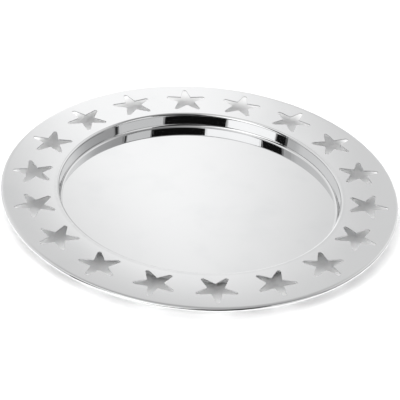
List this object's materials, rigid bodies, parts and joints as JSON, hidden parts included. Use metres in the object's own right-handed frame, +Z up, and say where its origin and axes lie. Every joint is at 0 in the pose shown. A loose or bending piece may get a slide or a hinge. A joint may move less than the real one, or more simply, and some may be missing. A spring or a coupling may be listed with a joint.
{
  "type": "offering plate",
  "caption": "Shallow round plate of mirror-polished sheet steel with a flat well, a wide rim pierced with stars and a wired edge, standing on a felt disc.",
  "frame": {"origin": "centre of the underside of the felt disc, where the plate stands", "axes": "+Z up along the plate's axis, +X through the middle of one star"},
  "size_m": [0.35, 0.35, 0.015],
  "materials": {
    "polished_steel": "polished",
    "wire_steel": "satin",
    "felt": "matte"
  },
  "bodies": {
    "root": {"pressed_plate": "polished_steel", "edge_wire": "wire_steel", "base_felt": "felt"}
  },
  "joints": []
}
